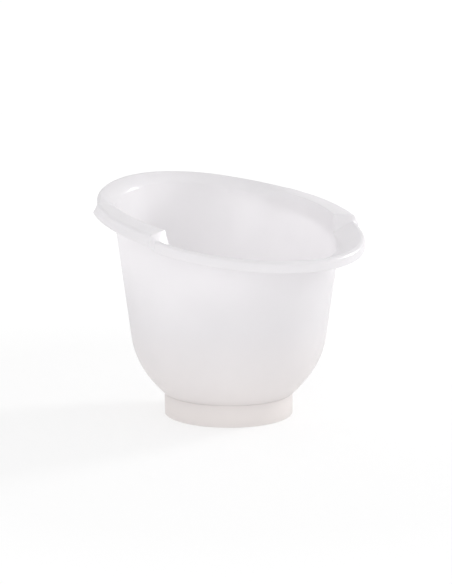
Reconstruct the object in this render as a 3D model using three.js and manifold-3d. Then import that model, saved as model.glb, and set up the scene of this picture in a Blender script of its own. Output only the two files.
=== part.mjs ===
// Baby bathtub: a milky bucket-shaped tub with a slanting rim, standing on a foot ring with a soft
// non-slip ring let into its underside.
// Millimetres, +Z up. The high backrest is towards +Y, the low entry side towards -Y and the two side
// grips are at +X and -X. The floor is z = 0 and the tub's own axis is the Z axis.
import * as THREE from "three";
import { mergeVertices } from "three/addons/utils/BufferGeometryUtils.js";
import Module from "manifold-3d";

// Tub wall
const WALL = 3;
const SEAT_Z = 37;
const SHOULDER_Z = 134;
const SHOULDER_R = 161.8;
const TAPER = 0.1325;
const SWELL = 41.2;
const SWELL_POWER = 2.2;
const FLOOR_EDGE_ROUND = 9;

// Slanting rim
const RIM_BACK_R = 212;
const RIM_FRONT_R = 225;
const RIM_MID_Z = 333.6;
const RIM_SLOPE = 0.247;
const RIM_BOW = 5;
const THROAT_DEPTH = 9;
const THROAT_SHARE = 0.4;
const FLARE = 24;
const LIP_ROUND = 5.5;
const LIP_DROP = 17.2;
const LIP_WALL = 3;

// Side grips: flat ledges that climb out of the rim towards the front and end there in a steep step,
// with a skirt that stands out and leans outward. Their ends are angles from the backrest round to
// each side.
const GRIP_BACK = 36;
const LEDGE_BACK = 48;
const LEDGE_FULL = 80;
const GRIP_FRONT = 110.5;
const WIDE_BACK = 65;
const WIDE_SPAN = 2.5;
const STEP_INNER = 3.4;
const STEP_OUTER = 1.3;
const GRIP_LIFT = 9.2;
const GRIP_WIDEN = 3;
const SKIRT_LEAN = 5.5;
const LEDGE_ROUND = 2.4;

// Locating collar under the tub, foot ring and non-slip ring
const GAP = 0.3;
const COLLAR_R = 86.7;
const COLLAR_WALL = 3.5;
const COLLAR_Z = 28;
const FOOT_R = 107;
const FOOT_WALL = 4;
const FOOT_Z = 1;
const SHELF_R = 87;
const SHELF_THICK = 4;
const SOLE_R = 89;
const SOLE_THICK = 6;
const FOOT_ROUND = 2.5;
const SOFT_IN_R = 93;
const SOFT_OUT_R = 102;
const SOFT_HEIGHT = 3.2;
const SOFT_EDGE = 0.6;

// The foot and the tub's wall stand on their own axis, which is a little behind the middle of the rim.
const AXIS_Y = (RIM_FRONT_R - RIM_BACK_R) / 2;

// Fineness: sections every few degrees, closer together over each grip's step
const COARSE = 4.5;
const FINE = 0.68;
const FINE_SPAN = 4.4;
const RINGS_LOW = 9;
const RINGS_HIGH = 4;

const tubMaterial = new THREE.MeshStandardMaterial({ color: 0xf2f1f3, roughness: 0.35, metalness: 0 });
const footMaterial = new THREE.MeshStandardMaterial({ color: 0xe9e7e2, roughness: 0.4, metalness: 0 });
const softMaterial = new THREE.MeshStandardMaterial({ color: 0xd8d6d0, roughness: 0.8, metalness: 0 });

const wasm = await Module();
wasm.setup();

function toSolid(geometry) {
  const bare = geometry.clone();
  bare.deleteAttribute("normal");
  bare.deleteAttribute("uv");
  const merged = mergeVertices(bare, 1e-4);
  return new wasm.Manifold(
    new wasm.Mesh({
      numProp: 3,
      vertProperties: new Float32Array(merged.attributes.position.array),
      triVerts: new Uint32Array(merged.index.array),
    }),
  );
}

function toGeometry(solid) {
  const mesh = solid.getMesh();
  const geometry = new THREE.BufferGeometry();
  geometry.setAttribute("position", new THREE.BufferAttribute(mesh.vertProperties, 3));
  geometry.setIndex(new THREE.BufferAttribute(mesh.triVerts, 1));
  geometry.computeVertexNormals();
  return geometry;
}

function smooth(t) {
  const c = Math.min(1, Math.max(0, t));
  return c * c * (3 - 2 * c);
}

// Outer radius of the tub's wall at a height.
function wallRadius(z) {
  const low = Math.max(0, (SHOULDER_Z - z) / (SHOULDER_Z - SEAT_Z));
  return SHOULDER_R + TAPER * (z - SHOULDER_Z) - SWELL * Math.pow(low, SWELL_POWER);
}

// Outer radius of the rim at an angle from the backrest: it reaches further out over the front.
function rimRadius(angle) {
  const mean = (RIM_FRONT_R + RIM_BACK_R) / 2;
  return mean - ((RIM_FRONT_R - RIM_BACK_R) / 2) * Math.cos(angle);
}

// Height of the slanting, slightly bowed rim over a point at a radius and an angle.
function rimHeight(radius, angle) {
  const along = radius * Math.cos(angle);
  return RIM_MID_Z + RIM_SLOPE * along + RIM_BOW * Math.pow(along / RIM_FRONT_R, 2);
}

function sideAngle(angle) {
  return THREE.MathUtils.radToDeg(Math.abs(Math.atan2(Math.sin(angle), Math.cos(angle))));
}

// What is left of a grip past its front end, from 1 on the grip to 0 below its step. The step is
// steeper at the rim's edge (share 1) than at the wall (share 0).
function stepLeft(angle, share) {
  const length = STEP_INNER + (STEP_OUTER - STEP_INNER) * Math.min(1, Math.max(0, share));
  return 1 - Math.min(1, Math.max(0, (sideAngle(angle) - GRIP_FRONT) / length));
}

// The tub's closed section at one angle, as [radius, height] pairs from the axis below the tub's floor,
// up the outside, over the rim and down the inside to the axis again.
function tubSection(angle) {
  const side = sideAngle(angle);
  const climb = smooth((side - GRIP_BACK) / (GRIP_FRONT - GRIP_BACK));
  const flat = smooth((side - LEDGE_BACK) / (LEDGE_FULL - LEDGE_BACK));
  const rolledEdge = rimRadius(angle);
  let top = RIM_MID_Z;
  for (let i = 0; i < 12; i += 1) {
    const radius = wallRadius(top);
    top = rimHeight(radius, angle) - THROAT_DEPTH - THROAT_SHARE * (rolledEdge - radius);
  }
  const wallTop = wallRadius(top);
  const depth = rimHeight(wallTop, angle) - top;
  const outer = [];
  const inner = [];
  for (let i = 0; i < RINGS_LOW; i += 1) {
    const part = i / RINGS_LOW;
    const z = SEAT_Z + (SHOULDER_Z - SEAT_Z) * part;
    outer.push([wallRadius(z), z]);
    const lifted = z + WALL + FLOOR_EDGE_ROUND * Math.pow(1 - part, 3);
    inner.push([wallRadius(lifted) - WALL, lifted]);
  }
  for (let i = 0; i <= RINGS_HIGH; i += 1) {
    const z = SHOULDER_Z + ((top - SHOULDER_Z) * i) / RINGS_HIGH;
    outer.push([wallRadius(z), z]);
    inner.push([wallRadius(z) - WALL, z]);
  }
  const wide = Math.min(1, Math.max(0, (side - WIDE_BACK) / WIDE_SPAN));
  const onGrip = wide * stepLeft(angle, 1);
  const edge = rolledEdge + GRIP_WIDEN * onGrip;
  const lean = SKIRT_LEAN * onGrip;
  const shelf = edge - wallTop;
  // A point of the rim given as [radius, drop below the rim's slope]; it changes from its rolled form to its
  // ledge form over a grip.
  const onRim = (rolled, ledge = rolled) => {
    const left = stepLeft(angle, (rolled[0] - wallTop) / shelf);
    const share = flat * left;
    const radius = rolled[0] + (ledge[0] - rolled[0]) * share;
    const drop = rolled[1] + (ledge[1] - rolled[1]) * share;
    return [radius, rimHeight(radius, angle) + GRIP_LIFT * climb * left - drop];
  };
  const slope = THREE.MathUtils.degToRad(FLARE);
  const turnFrom = Math.PI / 2 + slope;
  const centre = edge - LIP_ROUND;
  const onRound = (round, turn) => [
    centre + round * Math.cos(turn),
    LIP_ROUND - round * Math.sin(turn),
  ];
  // Runs from the wall's top up to the lip's round, which it meets at the flare's slope; hug is how far
  // up it keeps to the wall.
  const flareAt = (t, start, end, hug) => {
    const reach = 0.45 * (end[0] - start[0]);
    const up = [start[0] + TAPER * hug * start[1], start[1] * (1 - hug)];
    const back = [end[0] - reach, end[1] + reach * Math.tan(slope)];
    const s = 1 - t;
    return [0, 1].map(
      (k) => s ** 3 * start[k] + 3 * s * s * t * up[k] + 3 * s * t * t * back[k] + t ** 3 * end[k],
    );
  };
  const cornerR = wallTop - WALL + TAPER * depth;
  const ledgeTop = [
    [cornerR - TAPER * depth * 0.5, depth * 0.5],
    [cornerR, LEDGE_ROUND],
    [cornerR + LEDGE_ROUND * 0.3, LEDGE_ROUND * 0.3],
    [cornerR + LEDGE_ROUND, 0],
    [(cornerR + LEDGE_ROUND + centre) / 2, 0],
    [centre, 0],
  ];
  const ledgeUnder = [
    [wallTop + TAPER * depth * 0.6, depth * 0.4 + WALL],
    [wallTop + TAPER * depth + 0.6, WALL + 1.2],
    [(wallTop + centre) / 2 + 2, WALL],
    [centre, LIP_WALL],
  ];
  const over = ledgeTop.map((point, i) => {
    const t = (i + 1) / ledgeTop.length;
    return onRim(flareAt(t, [wallTop - WALL, depth], onRound(LIP_ROUND, turnFrom), 0.3), point);
  });
  const under = ledgeUnder.map((point, i) => {
    const t = (i + 1) / ledgeUnder.length;
    return onRim(flareAt(t, [wallTop, depth], onRound(LIP_ROUND - LIP_WALL, turnFrom), 0.4), point);
  });
  for (let i = 1; i <= 4; i += 1) {
    const turn = (Math.PI / 2) * (1 - i / 4);
    const rolledTurn = turnFrom * (1 - i / 4);
    over.push(onRim(onRound(LIP_ROUND, rolledTurn), onRound(LIP_ROUND, turn)));
    if (i % 2 === 0) {
      under.push(onRim(onRound(LIP_ROUND - LIP_WALL, rolledTurn), onRound(LIP_ROUND - LIP_WALL, turn)));
    }
  }
  under.push(onRim([edge + lean - LIP_WALL, LIP_DROP - 0.8]));
  under.push(onRim([edge + lean - LIP_WALL * 0.7, LIP_DROP]));
  under.push(onRim([edge + lean - LIP_WALL * 0.3, LIP_DROP]));
  under.push(onRim([edge + lean, LIP_DROP - 0.8]));
  const base = [
    [0, SEAT_Z],
    [COLLAR_R - COLLAR_WALL, SEAT_Z],
    [COLLAR_R - COLLAR_WALL, COLLAR_Z],
    [COLLAR_R, COLLAR_Z],
    [COLLAR_R, SEAT_Z],
  ];
  const floor = [[wallRadius(SEAT_Z) - WALL - FLOOR_EDGE_ROUND, SEAT_Z + WALL + 1.2], [0, SEAT_Z + WALL]];
  return [...base, ...outer, ...under, ...over.reverse(), ...inner.reverse(), ...floor];
}

// Angles for the tub's sections, in degrees, mirrored left and right.
function sectionAngles() {
  const half = [];
  for (let a = COARSE; a < 180; a += COARSE) {
    if (a < GRIP_FRONT - FINE / 2 || a > GRIP_FRONT + FINE_SPAN) {
      half.push(a);
    }
  }
  half.push(WIDE_BACK, WIDE_BACK + WIDE_SPAN);
  for (let a = GRIP_FRONT; a <= GRIP_FRONT + FINE_SPAN; a += FINE) {
    half.push(a);
  }
  half.sort((first, second) => first - second);
  const mirrored = half.map((a) => 360 - a).reverse();
  return [0, ...half, 180, ...mirrored];
}

// A closed skin through one section per angle; the first and last points lie on the axis.
function skinRound(sectionAt, degrees) {
  const angles = degrees.map((a) => THREE.MathUtils.degToRad(a));
  const sections = angles.map(sectionAt);
  const count = angles.length;
  const points = sections[0].length;
  const positions = [];
  const indices = [];
  sections.forEach((section, a) => {
    const angle = angles[a];
    section.forEach(([radius, z]) => {
      positions.push(radius * Math.sin(angle), radius * Math.cos(angle), z);
    });
  });
  for (let a = 0; a < count; a += 1) {
    const next = (a + 1) % count;
    for (let p = 0; p < points - 1; p += 1) {
      const here = a * points + p;
      const beside = next * points + p;
      if (p > 0) {
        indices.push(here, beside + 1, beside);
      }
      if (p < points - 2) {
        indices.push(here, here + 1, beside + 1);
      }
    }
  }
  const poleLow = 0;
  const poleHigh = points - 1;
  const same = (index) => {
    const p = index % points;
    if (p === 0) return poleLow;
    if (p === points - 1) return poleHigh;
    return index;
  };
  const geometry = new THREE.BufferGeometry();
  geometry.setAttribute("position", new THREE.Float32BufferAttribute(positions, 3));
  geometry.setIndex(indices.map(same));
  return toGeometry(toSolid(geometry.toNonIndexed()));
}

// A ring turned about Z from a closed outline of [radius, height] pairs.
function turnedRing(outline, segments) {
  const profile = outline.map(([radius, z]) => new THREE.Vector2(radius, z));
  profile.push(profile[0].clone());
  const ring = new THREE.LatheGeometry(profile, segments);
  ring.rotateX(Math.PI / 2);
  return toGeometry(toSolid(ring));
}

function footRing() {
  const top = SEAT_Z - GAP;
  return turnedRing(
    [
      [SOLE_R, FOOT_Z],
      [SOFT_IN_R - GAP, FOOT_Z],
      [SOFT_IN_R - GAP, SOFT_HEIGHT + GAP],
      [SOFT_OUT_R + GAP, SOFT_HEIGHT + GAP],
      [SOFT_OUT_R + GAP, FOOT_Z],
      [FOOT_R - FOOT_ROUND, FOOT_Z],
      [FOOT_R - FOOT_ROUND * 0.3, FOOT_Z + FOOT_ROUND * 0.3],
      [FOOT_R, FOOT_Z + FOOT_ROUND],
      [FOOT_R, top - 0.8],
      [FOOT_R - 0.8, top],
      [SHELF_R, top],
      [SHELF_R, top - SHELF_THICK],
      [FOOT_R - FOOT_WALL - 1, top - SHELF_THICK],
      [FOOT_R - FOOT_WALL, top - SHELF_THICK - 1],
      [FOOT_R - FOOT_WALL, SOLE_THICK + 2],
      [FOOT_R - FOOT_WALL - 2, SOLE_THICK],
      [SOLE_R, SOLE_THICK],
    ],
    96,
  );
}

function softRing() {
  return turnedRing(
    [
      [SOFT_IN_R + SOFT_EDGE, 0],
      [SOFT_OUT_R - SOFT_EDGE, 0],
      [SOFT_OUT_R, SOFT_EDGE],
      [SOFT_OUT_R, SOFT_HEIGHT],
      [SOFT_IN_R, SOFT_HEIGHT],
      [SOFT_IN_R, SOFT_EDGE],
    ],
    96,
  );
}

const group = new THREE.Group();

function addPiece(name, geometry, material) {
  geometry.translate(0, AXIS_Y, 0);
  const mesh = new THREE.Mesh(geometry, material);
  mesh.name = name;
  group.add(mesh);
}

addPiece("tub_shell", skinRound(tubSection, sectionAngles()), tubMaterial);
addPiece("foot_ring", footRing(), footMaterial);
addPiece("non_slip_ring", softRing(), softMaterial);

export default group;
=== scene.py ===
"""Looks of the baby bathtub: smooth moulded pieces, milky plastic and soft rubber, and a pale studio."""

import math

import bpy
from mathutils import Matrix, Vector


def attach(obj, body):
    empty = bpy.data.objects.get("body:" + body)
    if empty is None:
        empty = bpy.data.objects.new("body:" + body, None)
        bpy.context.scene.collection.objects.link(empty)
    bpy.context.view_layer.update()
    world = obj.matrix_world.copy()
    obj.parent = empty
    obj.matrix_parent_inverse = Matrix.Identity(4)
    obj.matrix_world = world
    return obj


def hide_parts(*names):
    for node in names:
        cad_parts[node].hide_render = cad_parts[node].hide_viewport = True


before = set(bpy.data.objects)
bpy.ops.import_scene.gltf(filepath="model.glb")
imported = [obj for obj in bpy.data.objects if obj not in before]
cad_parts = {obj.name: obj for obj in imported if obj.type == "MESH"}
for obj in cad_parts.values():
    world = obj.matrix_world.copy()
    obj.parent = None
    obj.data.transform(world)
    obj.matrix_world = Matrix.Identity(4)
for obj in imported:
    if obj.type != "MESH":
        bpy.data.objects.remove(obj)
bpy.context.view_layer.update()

MM = 0.001

# The tub's shape, in millimetres and degrees, as in the CAD model
WALL = 3.0
SEAT_Z = 37.0
SHOULDER_Z = 134.0
SHOULDER_R = 161.8
TAPER = 0.1325
SWELL = 41.2
SWELL_POWER = 2.2
FLOOR_EDGE_ROUND = 9.0
RIM_BACK_R = 212.0
RIM_FRONT_R = 225.0
RIM_MID_Z = 333.6
RIM_SLOPE = 0.247
RIM_BOW = 5.0
THROAT_DEPTH = 9.0
THROAT_SHARE = 0.4
FLARE = 24.0
LIP_ROUND = 5.5
LIP_DROP = 17.2
LIP_WALL = 3.0
GRIP_BACK = 36.0
LEDGE_BACK = 48.0
LEDGE_FULL = 80.0
GRIP_FRONT = 110.5
WIDE_BACK = 65.0
WIDE_SPAN = 2.5
STEP_INNER = 3.4
STEP_OUTER = 1.3
GRIP_LIFT = 9.2
GRIP_WIDEN = 3.0
SKIRT_LEAN = 5.5
LEDGE_ROUND = 2.4

# How the flare leaves the wall: the share of its depth that each side keeps to the wall, and the share
# of its width over which it settles to the lip's slope
HUG_INSIDE = 0.3
HUG_OUTSIDE = 0.4
FLARE_REACH = 0.45

# Small shapes of the tub's section: the corner under a ledge, the lip's tip, the collar's edges and the
# slightly dished floor
UNDER_CORNER = (0.6, 0.4)
LIP_TIP = 1.4
COLLAR_EDGE = 0.5
FLOOR_MID_R = 40.0
DISH_SPAN = 20.0
DISH_EDGE = 1.2
DISH_RISE = 0.3

# Collar, foot ring and non-slip ring
GAP = 0.3
COLLAR_R = 86.7
COLLAR_WALL = 3.5
COLLAR_Z = 28.0
FOOT_R = 107.0
FOOT_WALL = 4.0
FOOT_Z = 1.0
SHELF_R = 87.0
SHELF_THICK = 4.0
SOLE_R = 89.0
SOLE_THICK = 6.0
SOFT_IN_R = 93.0
SOFT_OUT_R = 102.0
SOFT_HEIGHT = 3.2
FOOT_SEAM = 0.1
FOOT_EDGE = 0.5
SOFT_EDGE = 0.35
GROOVES = 3
GROOVE_WIDE = 0.9
GROOVE_DEEP = 0.6
AXIS_Y = (RIM_FRONT_R - RIM_BACK_R) / 2

# Tint of the plastic near the floor and the heights, in metres, it fades between
WARM_TINT = (1.02, 1.0, 0.978)
WARM_HEIGHTS = (0.02, 0.17)

# Satin plastic
PLASTIC_IOR = 1.49
COAT_ROUGHNESS = 0.08

# Colour sockets of a Mix node
MIX_A = 6
MIX_B = 7
MIX_RESULT = 2

# Fineness of the smooth pieces
COARSE = 1.25
FINE = 0.2
FINE_SPAN = 4.4
RINGS_LOW = 30
RINGS_HIGH = 24
FLARE_STEPS = 24
LIP_STEPS = 12
SKIRT_STEPS = 3
TIP_STEPS = 8
SKIRT_MARGIN = 0.5
SKIRT_SECTIONS = 8
SOLVE_STEPS = 12
SHARP_EDGE = 50


def smooth(t):
    c = min(1.0, max(0.0, t))
    return c * c * (3 - 2 * c)


def mix(a, b, t):
    return a + (b - a) * t


def wall_radius(z):
    low = max(0.0, (SHOULDER_Z - z) / (SHOULDER_Z - SEAT_Z))
    return SHOULDER_R + TAPER * (z - SHOULDER_Z) - SWELL * low**SWELL_POWER


def rim_radius(angle):
    mean = (RIM_FRONT_R + RIM_BACK_R) / 2
    return mean - (RIM_FRONT_R - RIM_BACK_R) / 2 * math.cos(angle)


def rim_height(radius, angle):
    along = radius * math.cos(angle)
    return RIM_MID_Z + RIM_SLOPE * along + RIM_BOW * (along / RIM_FRONT_R) ** 2


def side_angle(angle):
    return math.degrees(abs(math.atan2(math.sin(angle), math.cos(angle))))


def step_left(angle, share):
    length = mix(STEP_INNER, STEP_OUTER, min(1.0, max(0.0, share)))
    return 1 - min(1.0, max(0.0, (side_angle(angle) - GRIP_FRONT) / length))


def cubic(p0, p1, p2, p3, t):
    s = 1 - t
    return tuple(
        s**3 * a + 3 * s * s * t * b + 3 * s * t * t * c + t**3 * d for a, b, c, d in zip(p0, p1, p2, p3)
    )


def tub_section(angle):
    """The tub's closed section at one angle: out under its floor, up outside, over the rim, down inside."""
    side = side_angle(angle)
    climb = smooth((side - GRIP_BACK) / (GRIP_FRONT - GRIP_BACK))
    flat = smooth((side - LEDGE_BACK) / (LEDGE_FULL - LEDGE_BACK))
    rolled_edge = rim_radius(angle)
    top = RIM_MID_Z
    for _ in range(SOLVE_STEPS):
        radius = wall_radius(top)
        top = rim_height(radius, angle) - THROAT_DEPTH - THROAT_SHARE * (rolled_edge - radius)
    wall_top = wall_radius(top)
    depth = rim_height(wall_top, angle) - top
    outer, inner = [], []
    for i in range(RINGS_LOW):
        part = i / RINGS_LOW
        z = mix(SEAT_Z, SHOULDER_Z, part)
        outer.append((wall_radius(z), z))
        lifted = z + WALL + FLOOR_EDGE_ROUND * (1 - part) ** 3
        inner.append((wall_radius(lifted) - WALL, lifted))
    for i in range(RINGS_HIGH + 1):
        z = mix(SHOULDER_Z, top, i / RINGS_HIGH)
        outer.append((wall_radius(z), z))
        inner.append((wall_radius(z) - WALL, z))
    wide = smooth((side - WIDE_BACK) / WIDE_SPAN)
    on_grip = wide * step_left(angle, 1)
    edge = rolled_edge + GRIP_WIDEN * on_grip
    lean = SKIRT_LEAN * on_grip
    shelf = edge - wall_top
    slope = math.radians(FLARE)
    turn_from = math.pi / 2 + slope
    centre = edge - LIP_ROUND
    corner = (wall_top - WALL + TAPER * depth, LEDGE_ROUND)

    def on_rim(rolled, ledge=None):
        """A rim point (radius, drop) that changes from its rolled form to its ledge form over a grip."""
        ledge = ledge or rolled
        left = step_left(angle, (rolled[0] - wall_top) / shelf)
        part = flat * left
        radius = mix(rolled[0], ledge[0], part)
        drop = mix(rolled[1], ledge[1], part)
        return (radius, rim_height(radius, angle) + GRIP_LIFT * climb * left - drop)

    def on_round(size, turn):
        """A point of the lip's round."""
        return (centre + size * math.cos(turn), LIP_ROUND - size * math.sin(turn))

    def flare_at(t, start, end, hug):
        """From the wall's top, which it hugs for a share of its depth, up to the lip's round."""
        reach = FLARE_REACH * (end[0] - start[0])
        up = (start[0] + TAPER * hug * start[1], start[1] * (1 - hug))
        return cubic(start, up, (end[0] - reach, end[1] + reach * math.tan(slope)), end, t)

    def ledge_at(t):
        """From the wall's top up a steep face, round its corner and out flat to the lip's round."""
        if t < 1 / 3:
            return (mix(wall_top - WALL, corner[0], 3 * t), mix(depth, corner[1], 3 * t))
        if t < 2 / 3:
            turn = math.pi / 2 * (3 * t - 1)
            return (corner[0] + LEDGE_ROUND * (1 - math.cos(turn)), LEDGE_ROUND * (1 - math.sin(turn)))
        return (mix(corner[0] + LEDGE_ROUND, centre, 3 * t - 2), 0.0)

    over, under = [], []
    low_corner = (wall_top + TAPER * depth + UNDER_CORNER[0], WALL + UNDER_CORNER[1])
    inner_round = LIP_ROUND - LIP_WALL
    for i in range(1, FLARE_STEPS + 1):
        t = i / FLARE_STEPS
        rolled = flare_at(t, (wall_top - WALL, depth), on_round(LIP_ROUND, turn_from), HUG_INSIDE)
        over.append(on_rim(rolled, ledge_at(t)))
        rolled = flare_at(t, (wall_top, depth), on_round(inner_round, turn_from), HUG_OUTSIDE)
        ledge = cubic((wall_top, depth), low_corner, low_corner, (centre, LIP_WALL), t)
        under.append(on_rim(rolled, ledge))
    for i in range(1, LIP_STEPS + 1):
        turn = (math.pi / 2) * (1 - i / LIP_STEPS)
        rolled_turn = turn_from * (1 - i / LIP_STEPS)
        for line, size in ((over, LIP_ROUND), (under, inner_round)):
            line.append(on_rim(on_round(size, rolled_turn), on_round(size, turn)))
    tip_top = LIP_DROP - LIP_TIP
    half = LIP_WALL / 2
    for i in range(1, SKIRT_STEPS + 1):
        radius = edge - LIP_WALL + lean * i / SKIRT_STEPS
        under.append(on_rim((radius, mix(LIP_ROUND, tip_top, i / SKIRT_STEPS))))
    for i in range(1, TIP_STEPS):
        turn = math.pi * i / TIP_STEPS
        radius = edge + lean - half - half * math.cos(turn)
        under.append(on_rim((radius, tip_top + LIP_TIP * math.sin(turn))))
    for i in range(SKIRT_STEPS, 0, -1):
        radius = edge + lean * i / SKIRT_STEPS
        under.append(on_rim((radius, mix(LIP_ROUND, tip_top, i / SKIRT_STEPS))))
    collar_in = COLLAR_R - COLLAR_WALL
    base = [(0.0, SEAT_Z), (FLOOR_MID_R, SEAT_Z), (collar_in, SEAT_Z)]
    base += [(collar_in, COLLAR_Z + COLLAR_EDGE), (collar_in + COLLAR_EDGE, COLLAR_Z)]
    base += [(COLLAR_R - COLLAR_EDGE, COLLAR_Z), (COLLAR_R, COLLAR_Z + COLLAR_EDGE), (COLLAR_R, SEAT_Z)]
    floor_z = SEAT_Z + WALL
    floor_r = wall_radius(SEAT_Z) - WALL - FLOOR_EDGE_ROUND
    floor = [(floor_r, floor_z + DISH_EDGE), (floor_r - DISH_SPAN, floor_z + DISH_RISE)]
    floor += [(FLOOR_MID_R, floor_z), (0.0, floor_z)]
    return base + outer + under + over[::-1] + inner[::-1] + floor


def section_angles():
    """Angles for the tub's sections in degrees, closer together over each grip's step and skirt end."""
    half = []
    a = COARSE
    while a < 180 - COARSE / 2:
        near_step = GRIP_FRONT - FINE < a < GRIP_FRONT + FINE_SPAN
        near_skirt = WIDE_BACK - SKIRT_MARGIN < a < WIDE_BACK + WIDE_SPAN + SKIRT_MARGIN
        if not near_step and not near_skirt:
            half.append(a)
        a += COARSE
    count = int(round(FINE_SPAN / FINE))
    half += [GRIP_FRONT + FINE * i for i in range(count + 1)]
    half += [WIDE_BACK + WIDE_SPAN * i / SKIRT_SECTIONS for i in range(SKIRT_SECTIONS + 1)]
    half.sort()
    return [0.0] + half + [180.0] + [360 - a for a in reversed(half)]


def skin(name, sections, angles, poles):
    """A closed mesh through one section per angle. With poles, each section starts and ends on the axis."""
    verts, faces = [], []
    length = len(sections[0])
    first, last = (1, length - 1) if poles else (0, length)
    per = last - first
    for section, degrees in zip(sections, angles):
        a = math.radians(degrees)
        for radius, z in section[first:last]:
            verts.append((radius * math.sin(a) * MM, (radius * math.cos(a) + AXIS_Y) * MM, z * MM))
    count = len(angles)
    if poles:
        low = len(verts)
        verts.append((0, AXIS_Y * MM, sections[0][0][1] * MM))
        verts.append((0, AXIS_Y * MM, sections[0][-1][1] * MM))
    for i in range(count):
        here, beside = i * per, (i + 1) % count * per
        for p in range(per - 1 if poles else per):
            q = (p + 1) % per
            faces.append((here + p, here + q, beside + q, beside + p))
        if poles:
            faces.append((low, here, beside))
            faces.append((low + 1, beside + per - 1, here + per - 1))
    mesh = bpy.data.meshes.new(name)
    mesh.from_pydata(verts, [], faces)
    mesh.validate()
    mesh.update()
    obj = bpy.data.objects.new(name, mesh)
    bpy.context.scene.collection.objects.link(obj)
    return obj


def finish_mesh(obj, sharp_degrees):
    """Faces outward, smooth shading, with edges sharper than the given angle kept crisp."""
    bpy.context.view_layer.objects.active = obj
    obj.select_set(True)
    bpy.ops.object.mode_set(mode="EDIT")
    bpy.ops.mesh.select_all(action="SELECT")
    bpy.ops.mesh.normals_make_consistent(inside=False)
    bpy.ops.object.mode_set(mode="OBJECT")
    obj.data.shade_smooth()
    obj.data.set_sharp_from_angle(angle=math.radians(sharp_degrees))
    obj.select_set(False)


def rounded(outline, radius, steps=4):
    """A closed outline of (radius, height) pairs with its corners rounded."""
    out = []
    count = len(outline)
    for i, point in enumerate(outline):
        p = Vector(point)
        before, after = Vector(outline[i - 1]), Vector(outline[(i + 1) % count])
        cut = min(radius, (p - before).length * 0.45, (after - p).length * 0.45)
        enter, leave = p + (before - p).normalized() * cut, p + (after - p).normalized() * cut
        for k in range(steps + 1):
            t = k / steps
            q = enter * (1 - t) ** 2 + p * 2 * t * (1 - t) + leave * t * t
            out.append((q.x, q.y))
    return out


def turned(name, outline, segments=240):
    angles = [360 * i / segments for i in range(segments)]
    return skin(name, [outline] * segments, angles, poles=False)


# Materials
def new_material(name):
    """A new material and its node tree."""
    material = bpy.data.materials.new(name)
    material.use_nodes = True
    tree = material.node_tree
    tree.nodes.clear()
    return material, tree


def add(tree, kind, **values):
    """A new node of one kind, with its settings."""
    node = tree.nodes.new(kind)
    for key, value in values.items():
        setattr(node, key, value)
    return node


def noise(tree, scale, detail=2.0, rough=0.5):
    """A noise pattern in the object's own space."""
    coords = add(tree, "ShaderNodeTexCoord")
    node = add(tree, "ShaderNodeTexNoise")
    node.inputs["Scale"].default_value = scale
    node.inputs["Detail"].default_value = detail
    node.inputs["Roughness"].default_value = rough
    tree.links.new(coords.outputs["Object"], node.inputs["Vector"])
    return node.outputs["Fac"]


def ramp(tree, fac, low, high, start=0.3, end=0.7):
    """A colour that runs from low to high as a value goes from start to end."""
    node = add(tree, "ShaderNodeValToRGB")
    node.color_ramp.elements[0].position = start
    node.color_ramp.elements[1].position = end
    node.color_ramp.elements[0].color = (*low, 1)
    node.color_ramp.elements[1].color = (*high, 1)
    tree.links.new(fac, node.inputs["Fac"])
    return node.outputs["Color"]


def spread(tree, fac, low, high, start=0.3, end=0.7):
    """A value stretched from one range to another."""
    node = add(tree, "ShaderNodeMapRange")
    node.inputs["From Min"].default_value = start
    node.inputs["From Max"].default_value = end
    node.inputs["To Min"].default_value = low
    node.inputs["To Max"].default_value = high
    tree.links.new(fac, node.inputs["Value"])
    return node.outputs["Result"]


def bump(tree, height, strength, distance, before=None):
    """A bump of a strength and a distance, laid over the one before."""
    node = add(tree, "ShaderNodeBump")
    node.inputs["Strength"].default_value = strength
    node.inputs["Distance"].default_value = distance
    tree.links.new(height, node.inputs["Height"])
    if before:
        tree.links.new(before, node.inputs["Normal"])
    return node.outputs["Normal"]


def warmer_below(tree, colour):
    """The colour, slightly warmer towards the floor."""
    where = add(tree, "ShaderNodeTexCoord")
    split = add(tree, "ShaderNodeSeparateXYZ")
    tree.links.new(where.outputs["Object"], split.inputs["Vector"])
    tint = ramp(tree, split.outputs["Z"], WARM_TINT, (1.0, 1.0, 1.0), *WARM_HEIGHTS)
    both = add(tree, "ShaderNodeMix", data_type="RGBA", blend_type="MULTIPLY")
    both.inputs["Factor"].default_value = 1.0
    tree.links.new(colour, both.inputs[MIX_A])
    tree.links.new(tint, both.inputs[MIX_B])
    return both.outputs[MIX_RESULT]


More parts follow.
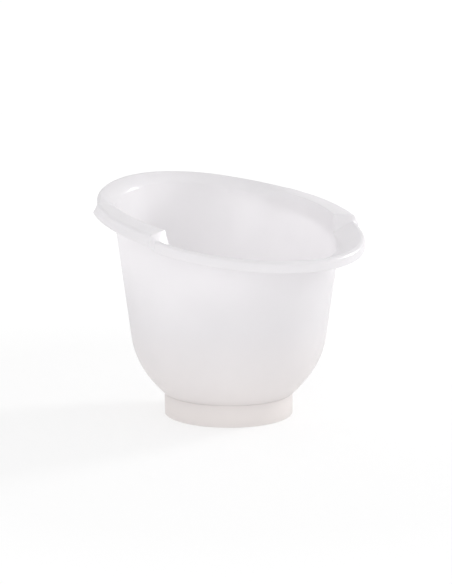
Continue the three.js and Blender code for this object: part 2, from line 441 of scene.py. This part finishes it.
def plastic(name, low, high, rough_low, rough_high, coat, through):
    """Moulded plastic: cloudy colour, satin grain and faint flow waves; through is its see-through share."""
    material, tree = new_material(name)
    shader = add(tree, "ShaderNodeBsdfPrincipled")
    cloud = noise(tree, scale=7.0, detail=3.0)
    colour = warmer_below(tree, ramp(tree, cloud, low, high, start=0.35, end=0.65))
    tree.links.new(colour, shader.inputs["Base Color"])
    roughness = spread(tree, noise(tree, scale=30.0, detail=5.0, rough=0.6), rough_low, rough_high)
    tree.links.new(roughness, shader.inputs["Roughness"])
    waves = bump(tree, noise(tree, scale=11.0, detail=1.0), strength=0.10, distance=0.002)
    grain = bump(tree, noise(tree, scale=900.0), strength=0.10, distance=0.0002, before=waves)
    tree.links.new(grain, shader.inputs["Normal"])
    shader.inputs["IOR"].default_value = PLASTIC_IOR
    shader.inputs["Coat Weight"].default_value = coat
    shader.inputs["Coat Roughness"].default_value = COAT_ROUGHNESS
    glow = add(tree, "ShaderNodeBsdfTranslucent")
    tree.links.new(colour, glow.inputs["Color"])
    tree.links.new(grain, glow.inputs["Normal"])
    blend = add(tree, "ShaderNodeMixShader")
    blend.inputs["Fac"].default_value = through
    tree.links.new(shader.outputs["BSDF"], blend.inputs[1])
    tree.links.new(glow.outputs["BSDF"], blend.inputs[2])
    output = add(tree, "ShaderNodeOutputMaterial")
    tree.links.new(blend.outputs["Shader"], output.inputs["Surface"])
    return material


def rubber(name, low, high):
    """Soft matte rubber: mottled colour, uneven roughness, fine grain and a little sheen."""
    material, tree = new_material(name)
    shader = add(tree, "ShaderNodeBsdfPrincipled")
    colour = ramp(tree, noise(tree, scale=40.0, detail=4.0), low, high, start=0.35, end=0.65)
    tree.links.new(colour, shader.inputs["Base Color"])
    roughness = spread(tree, noise(tree, scale=90.0, detail=4.0), low=0.68, high=0.88)
    tree.links.new(roughness, shader.inputs["Roughness"])
    grain = bump(tree, noise(tree, scale=1400.0, detail=3.0), strength=0.35, distance=0.0003)
    tree.links.new(grain, shader.inputs["Normal"])
    shader.inputs["Sheen Weight"].default_value = 0.15
    output = add(tree, "ShaderNodeOutputMaterial")
    tree.links.new(shader.outputs["BSDF"], output.inputs["Surface"])
    return material


tub_plastic = plastic(
    "tub_plastic",
    low=(0.925, 0.915, 0.926),
    high=(0.945, 0.935, 0.946),
    rough_low=0.3,
    rough_high=0.36,
    coat=0.6,
    through=0.48,
)
# The foot's colour is a little darker than the tub's: painted shade, for the foot standing in the shade
# under the bowl; it is also slightly warmer
foot_plastic = plastic(
    "foot_plastic",
    low=(0.918, 0.903, 0.912),
    high=(0.938, 0.923, 0.932),
    rough_low=0.32,
    rough_high=0.42,
    coat=0.15,
    through=0.38,
)
soft_rubber = rubber("soft_rubber", low=(0.60, 0.59, 0.56), high=(0.66, 0.65, 0.62))


# Pieces
angles = section_angles()
tub = skin("tub", [tub_section(math.radians(a)) for a in angles], angles, poles=True)
finish_mesh(tub, SHARP_EDGE)
tub.data.materials.append(tub_plastic)
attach(tub, "root")
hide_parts("tub_shell")

foot_top = SEAT_Z - FOOT_SEAM
foot_outline = [
    (SOLE_R, FOOT_Z),
    (SOFT_IN_R - GAP, FOOT_Z),
    (SOFT_IN_R - GAP, SOFT_HEIGHT + GAP),
    (SOFT_OUT_R + GAP, SOFT_HEIGHT + GAP),
    (SOFT_OUT_R + GAP, FOOT_Z),
    (FOOT_R, FOOT_Z),
    (FOOT_R, foot_top),
    (SHELF_R, foot_top),
    (SHELF_R, foot_top - SHELF_THICK),
    (FOOT_R - FOOT_WALL, foot_top - SHELF_THICK),
    (FOOT_R - FOOT_WALL, SOLE_THICK),
    (SOLE_R, SOLE_THICK),
]
foot = turned("foot", rounded(foot_outline, FOOT_EDGE))
finish_mesh(foot, SHARP_EDGE)
foot.data.materials.append(foot_plastic)
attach(foot, "root")
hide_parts("foot_ring")

soft_outline = [(SOFT_IN_R, 0.0)]
for i in range(GROOVES):
    middle = mix(SOFT_IN_R, SOFT_OUT_R, (i + 1) / (GROOVES + 1))
    soft_outline += [
        (middle - GROOVE_WIDE / 2, 0.0),
        (middle - GROOVE_WIDE / 2, GROOVE_DEEP),
        (middle + GROOVE_WIDE / 2, GROOVE_DEEP),
        (middle + GROOVE_WIDE / 2, 0.0),
    ]
soft_outline += [(SOFT_OUT_R, 0.0), (SOFT_OUT_R, SOFT_HEIGHT), (SOFT_IN_R, SOFT_HEIGHT)]
soft = turned("non_slip", rounded(soft_outline, SOFT_EDGE, steps=3))
finish_mesh(soft, SHARP_EDGE)
soft.data.materials.append(soft_rubber)
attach(soft, "root")
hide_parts("non_slip_ring")


# Studio: a pale floor that glows a little more far from the tub, a white surround that dims overhead,
# a key light from the right and a weak fill from the front left
FLOOR_HALF = 9.0
FLOOR_GREY = 0.42
GLOW_NEAR = 0.585
GLOW_FAR = 0.74
GLOW_FROM = 0.6
GLOW_TO = 2.0
HORIZON = (1.02, 1.02, 1.02)
ZENITH = (0.70, 0.70, 0.70)
SKY_FROM = 0.1
SKY_TO = 0.9
LIGHT_TARGET = Vector((0, 0, 0.3))
LIGHT_AWAY = 2.4


def studio_floor():
    """A wide matte floor that gives off light of its own, more of it far from the tub."""
    corners = [(-1, -1), (1, -1), (1, 1), (-1, 1)]
    mesh = bpy.data.meshes.new("studio_floor")
    mesh.from_pydata([(FLOOR_HALF * x, FLOOR_HALF * y, 0) for x, y in corners], [], [(0, 1, 2, 3)])
    floor = bpy.data.objects.new("studio_floor", mesh)
    bpy.context.scene.collection.objects.link(floor)
    paint, tree = new_material("studio_floor")
    matte = add(tree, "ShaderNodeBsdfDiffuse")
    matte.inputs["Color"].default_value = (FLOOR_GREY, FLOOR_GREY, FLOOR_GREY, 1)
    lift = add(tree, "ShaderNodeEmission")
    lift.inputs["Color"].default_value = (1, 1, 1, 1)
    where = add(tree, "ShaderNodeTexCoord")
    away = add(tree, "ShaderNodeVectorMath", operation="LENGTH")
    tree.links.new(where.outputs["Object"], away.inputs[0])
    glow = spread(tree, away.outputs["Value"], GLOW_NEAR, GLOW_FAR, GLOW_FROM, GLOW_TO)
    tree.links.new(glow, lift.inputs["Strength"])
    both = add(tree, "ShaderNodeAddShader")
    out = add(tree, "ShaderNodeOutputMaterial")
    tree.links.new(matte.outputs["BSDF"], both.inputs[0])
    tree.links.new(lift.outputs["Emission"], both.inputs[1])
    tree.links.new(both.outputs["Shader"], out.inputs["Surface"])
    mesh.materials.append(paint)
    return floor


def surround():
    """A white surround that dims overhead."""
    world = bpy.data.worlds.new("studio")
    world.use_nodes = True
    tree = world.node_tree
    where = add(tree, "ShaderNodeTexCoord")
    split = add(tree, "ShaderNodeSeparateXYZ")
    tree.links.new(where.outputs["Generated"], split.inputs["Vector"])
    sky = ramp(tree, split.outputs["Z"], HORIZON, ZENITH, SKY_FROM, SKY_TO)
    tree.links.new(sky, tree.nodes["Background"].inputs["Color"])
    bpy.context.scene.world = world


def soft_light(name, direction, size, radiance):
    """A square soft light that looks at the tub from a direction."""
    data = bpy.data.lights.new(name, "AREA")
    data.shape = "SQUARE"
    data.size = size
    data.energy = radiance * math.pi * size**2
    light = bpy.data.objects.new(name, data)
    light.location = LIGHT_TARGET + direction.normalized() * LIGHT_AWAY
    light.rotation_euler = (-direction).to_track_quat("-Z", "Y").to_euler()
    bpy.context.scene.collection.objects.link(light)


floor = studio_floor()
surround()
soft_light("softbox", Vector((0.94, -0.16, 0.29)), size=0.5, radiance=28.0)
soft_light("fill", Vector((-0.70, -0.45, 0.30)), size=1.2, radiance=1.3)

# Camera
CAMERA_AZIMUTH = math.radians(-37.43)
CAMERA_YAW = math.radians(-37.32)
CAMERA_PITCH = math.radians(9.85)
CAMERA_AWAY = 2.362
CAMERA_HEIGHT = 0.614
CAMERA_LENS = 89.3
CAMERA_SENSOR = 36.0
camera_data = bpy.data.cameras.new("camera")
camera_data.lens = CAMERA_LENS
camera_data.sensor_width = CAMERA_SENSOR
camera = bpy.data.objects.new("camera", camera_data)
camera.location = (
    CAMERA_AWAY * math.sin(CAMERA_AZIMUTH),
    -CAMERA_AWAY * math.cos(CAMERA_AZIMUTH) + AXIS_Y * MM,
    CAMERA_HEIGHT,
)
camera.rotation_euler = (math.pi / 2 - CAMERA_PITCH, 0, CAMERA_YAW)
bpy.context.scene.collection.objects.link(camera)
bpy.context.scene.camera = camera

view = bpy.context.scene.view_settings
view.view_transform = "Standard"
view.look = "None"
view.exposure = 0.0
view.gamma = 1.0
